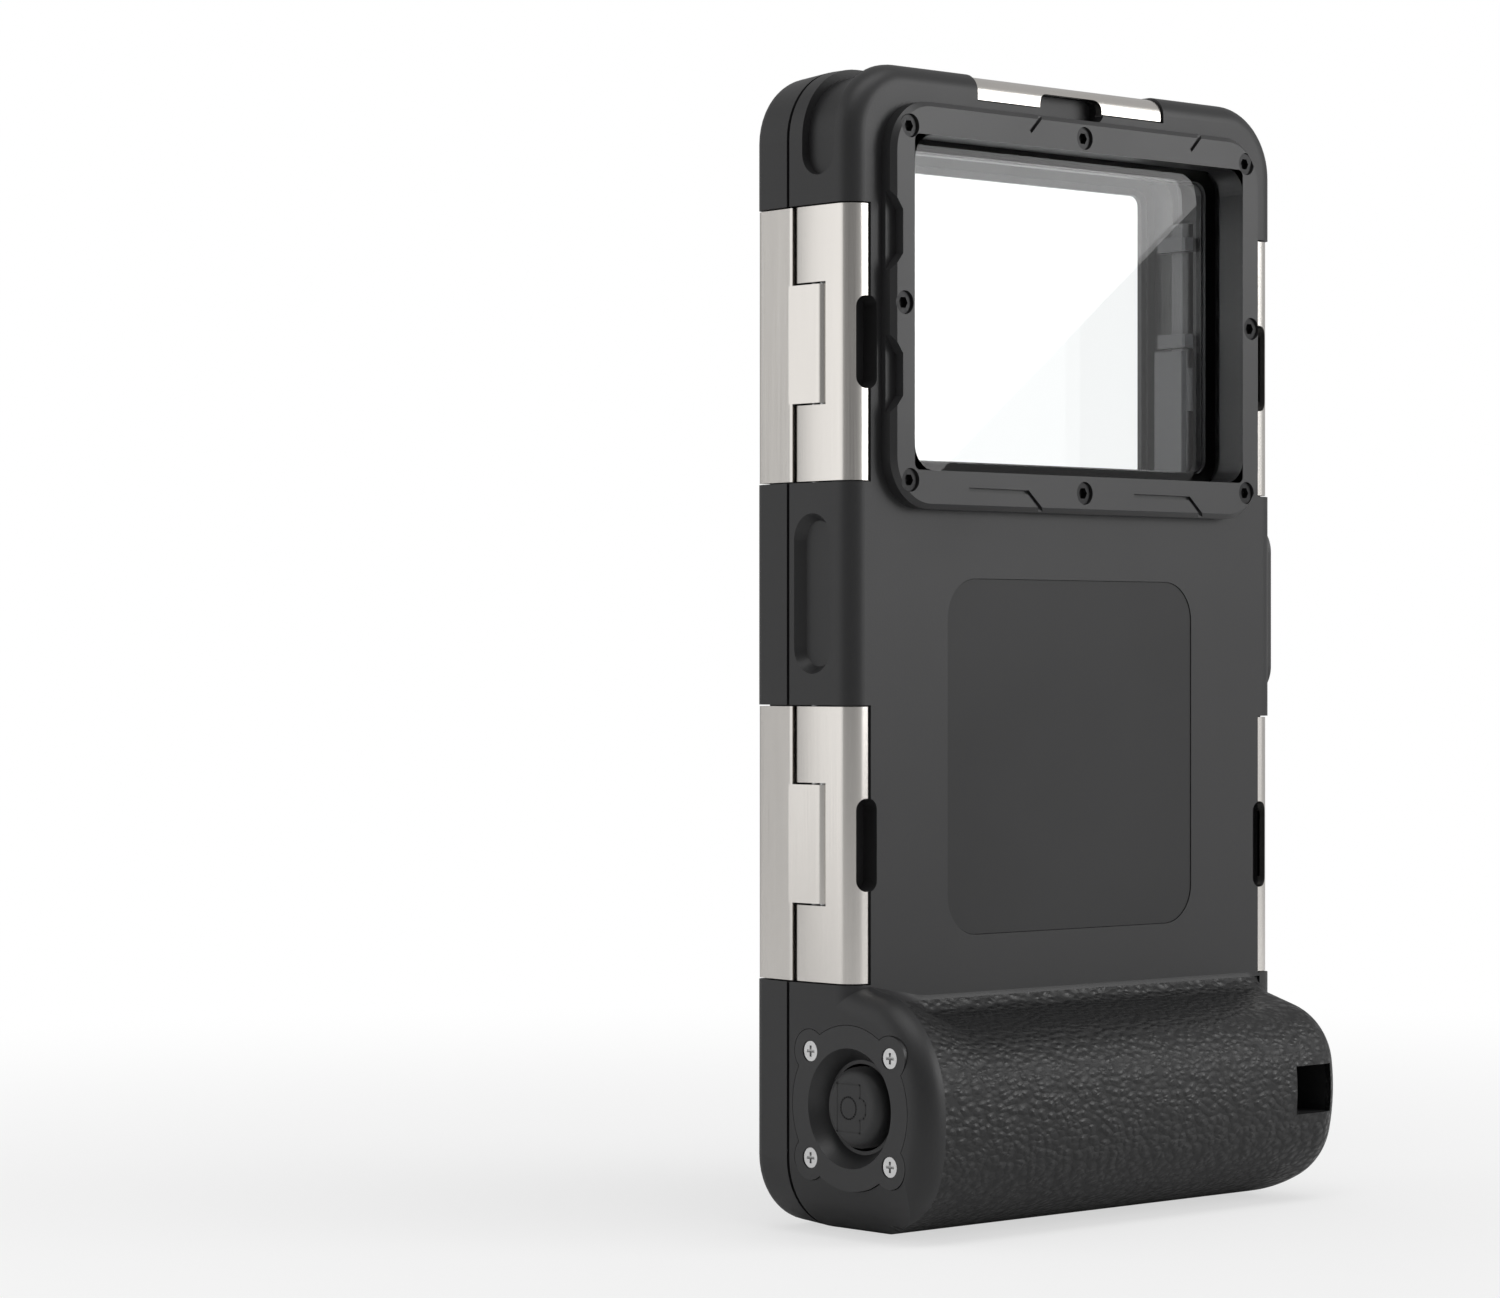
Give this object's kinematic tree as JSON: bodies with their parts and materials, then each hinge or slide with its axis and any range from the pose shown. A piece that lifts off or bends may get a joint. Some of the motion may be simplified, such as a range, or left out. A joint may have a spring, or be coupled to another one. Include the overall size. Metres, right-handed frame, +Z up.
{
  "type": "waterproof phone case with grip",
  "caption": "Waterproof dive housing for a phone: two shells held by draw latches, screen and camera windows, grip with shutter button.",
  "frame": {"origin": "on the floor, under the middle of the case's bounding box", "axes": "+Z up, -Y the camera side with the grip, +Y the screen side, -X the shutter side, +X the tripod side"},
  "size_m": [0.1122, 0.0435, 0.2026],
  "materials": {
    "shell_plastic": "fine moulded grain",
    "bezel_plastic": "satin",
    "grip_leather": "pebbled grain",
    "latch_steel": "brushed along the latch",
    "pin_steel": "ground",
    "clear_window": "clear",
    "seal_rubber": "matte",
    "button_rubber": "matte",
    "bright_screw": "polished",
    "black_screw": "black oxide",
    "label_film": "matte",
    "fitting_plastic": "satin",
    "insert_metal": "black oxide",
    "spring_steel": "bare wire",
    "rod_metal": "turned"
  },
  "bodies": {
    "case": {"rear_shell": "shell_plastic", "camera_frame": "shell_plastic", "shell_foot": "shell_plastic", "corner_low_front": "shell_plastic", "corner_high_front": "shell_plastic", "corner_low_back": "shell_plastic", "corner_high_back": "shell_plastic", "grip_core": "shell_plastic", "grip_skin": "grip_leather", "front_cover": "shell_plastic", "main_seal": "seal_rubber", "screen_window_seal": "seal_rubber", "screen_window": "clear_window", "camera_window_seal": "seal_rubber", "camera_window": "clear_window", "camera_bezel": "bezel_plastic", "bezel_screws": "black_screw", "label_panel": "label_film", "shutter_plate": "bezel_plastic", "shutter_plate_screws": "bright_screw", "shutter_seal": "seal_rubber", "shutter_spring": "spring_steel", "tripod_plate": "bezel_plastic", "tripod_insert": "insert_metal", "tripod_plate_screws": "black_screw", "latch_base_pins": "pin_steel", "phone_platform": "fitting_plastic", "platform_screw": "black_screw", "stop_rack": "fitting_plastic", "trigger_brackets": "fitting_plastic", "support_rod": "rod_metal", "support_brackets": "fitting_plastic"},
    "shutter_button": {"shutter_button": "button_rubber"},
    "trigger_shaft": {"trigger_rod": "rod_metal", "trigger_crank": "fitting_plastic"},
    "trigger_finger": {"trigger_finger": "fitting_plastic"},
    "support_pad": {"support_pad": "fitting_plastic"},
    "shutter_side_lock_slider": {"shutter_side_lock_slider": "fitting_plastic", "shutter_side_slider_rivet": "black_screw"},
    "tripod_side_lock_slider": {"tripod_side_lock_slider": "fitting_plastic", "tripod_side_slider_rivet": "black_screw"},
    "width_rest": {"width_rest": "fitting_plastic"},
    "bottom_stop": {"bottom_stop": "fitting_plastic"},
    "shutter_side_upper_lever": {"shutter_side_upper_lever": "latch_steel", "shutter_side_upper_link_pin": "pin_steel"},
    "shutter_side_upper_link": {"shutter_side_upper_link": "latch_steel"},
    "shutter_side_lower_lever": {"shutter_side_lower_lever": "latch_steel", "shutter_side_lower_link_pin": "pin_steel"},
    "shutter_side_lower_link": {"shutter_side_lower_link": "latch_steel"},
    "tripod_side_upper_lever": {"tripod_side_upper_lever": "latch_steel", "tripod_side_upper_link_pin": "pin_steel"},
    "tripod_side_upper_link": {"tripod_side_upper_link": "latch_steel"},
    "tripod_side_lower_lever": {"tripod_side_lower_lever": "latch_steel", "tripod_side_lower_link_pin": "pin_steel"},
    "tripod_side_lower_link": {"tripod_side_lower_link": "latch_steel"},
    "top_lever": {"top_lever": "latch_steel", "top_link_pin": "pin_steel"},
    "top_link": {"top_link": "latch_steel"},
    "bottom_lever": {"bottom_lever": "latch_steel", "bottom_link_pin": "pin_steel"},
    "bottom_link": {"bottom_link": "latch_steel"}
  },
  "joints": [
    {"name": "shutter_side_upper_lever_hinge", "type": "hinge", "parent": "case", "child": "shutter_side_upper_lever", "pos_m": [-0.053, 0.0083, 0.154], "axis": [0, 0, -1], "range_deg": [0, 95]},
    {"name": "shutter_side_upper_link_hinge", "type": "hinge", "parent": "shutter_side_upper_lever", "child": "shutter_side_upper_link", "pos_m": [-0.0538, 0.0055, 0.154], "axis": [0, 0, -1], "range_deg": [-95, 0]},
    {"name": "shutter_side_lower_lever_hinge", "type": "hinge", "parent": "case", "child": "shutter_side_lower_lever", "pos_m": [-0.053, 0.0083, 0.0676], "axis": [0, 0, -1], "range_deg": [0, 95]},
    {"name": "shutter_side_lower_link_hinge", "type": "hinge", "parent": "shutter_side_lower_lever", "child": "shutter_side_lower_link", "pos_m": [-0.0538, 0.0055, 0.0676], "axis": [0, 0, -1], "range_deg": [-95, 0]},
    {"name": "tripod_side_upper_lever_hinge", "type": "hinge", "parent": "case", "child": "tripod_side_upper_lever", "pos_m": [0.0508, 0.0083, 0.154], "axis": [0, 0, 1], "range_deg": [0, 95]},
    {"name": "tripod_side_upper_link_hinge", "type": "hinge", "parent": "tripod_side_upper_lever", "child": "tripod_side_upper_link", "pos_m": [0.0516, 0.0055, 0.154], "axis": [0, 0, 1], "range_deg": [-95, 0]},
    {"name": "tripod_side_lower_lever_hinge", "type": "hinge", "parent": "case", "child": "tripod_side_lower_lever", "pos_m": [0.0508, 0.0083, 0.065], "axis": [0, 0, 1], "range_deg": [0, 95]},
    {"name": "tripod_side_lower_link_hinge", "type": "hinge", "parent": "tripod_side_lower_lever", "child": "tripod_side_lower_link", "pos_m": [0.0516, 0.0055, 0.065], "axis": [0, 0, 1], "range_deg": [-95, 0]},
    {"name": "top_lever_hinge", "type": "hinge", "parent": "case", "child": "top_lever", "pos_m": [-0.0011, 0.0083, 0.1995], "axis": [-1, 0, 0], "range_deg": [0, 95]},
    {"name": "top_link_hinge", "type": "hinge", "parent": "top_lever", "child": "top_link", "pos_m": [-0.0011, 0.0055, 0.2003], "axis": [-1, 0, 0], "range_deg": [-95, 0]},
    {"name": "bottom_lever_hinge", "type": "hinge", "parent": "case", "child": "bottom_lever", "pos_m": [-0.0011, 0.0083, 0.0031], "axis": [1, 0, 0], "range_deg": [0, 95]},
    {"name": "bottom_link_hinge", "type": "hinge", "parent": "bottom_lever", "child": "bottom_link", "pos_m": [-0.0011, 0.0055, 0.0023], "axis": [1, 0, 0], "range_deg": [-95, 0]},
    {"name": "shutter_press", "type": "slide", "parent": "case", "child": "shutter_button", "axis": [1, 0, 0], "range_m": [0, 0.0022], "stiffness_N_per_m": 500, "springref_m": -0.002, "deforming": ["shutter_spring"]},
    {"name": "trigger_turn", "type": "hinge", "parent": "case", "child": "trigger_shaft", "pos_m": [-0.0421, 0.0076, 0.0165], "axis": [0, 0, 1], "range_deg": [0, 12]},
    {"name": "trigger_finger_slide", "type": "slide", "parent": "trigger_shaft", "child": "trigger_finger", "axis": [0, 0, 1], "range_m": [-0.03, 0]},
    {"name": "support_pad_slide", "type": "slide", "parent": "case", "child": "support_pad", "axis": [0, 0, 1], "range_m": [-0.03, 0]},
    {"name": "shutter_side_lock_slide", "type": "slide", "parent": "case", "child": "shutter_side_lock_slider", "axis": [0, 0, 1], "range_m": [-0.0036, 0]},
    {"name": "tripod_side_lock_slide", "type": "slide", "parent": "case", "child": "tripod_side_lock_slider", "axis": [0, 0, 1], "range_m": [0, 0.0036]},
    {"name": "width_rest_slide", "type": "slide", "parent": "case", "child": "width_rest", "axis": [1, 0, 0], "range_m": [0, 0.003]},
    {"name": "bottom_stop_slide", "type": "slide", "parent": "case", "child": "bottom_stop", "axis": [0, 0, 1], "range_m": [0, 0.017]}
  ],
  "couplings": [
    {"joint": "shutter_side_upper_link_hinge", "follows": "shutter_side_upper_lever_hinge", "ratio": -1},
    {"joint": "shutter_side_lower_link_hinge", "follows": "shutter_side_lower_lever_hinge", "ratio": -1},
    {"joint": "tripod_side_upper_link_hinge", "follows": "tripod_side_upper_lever_hinge", "ratio": -1},
    {"joint": "tripod_side_lower_link_hinge", "follows": "tripod_side_lower_lever_hinge", "ratio": -1},
    {"joint": "top_link_hinge", "follows": "top_lever_hinge", "ratio": -1},
    {"joint": "bottom_link_hinge", "follows": "bottom_lever_hinge", "ratio": -1},
    {"joint": "trigger_turn", "follows": "shutter_press", "rad_per_m": 95.105}
  ]
}
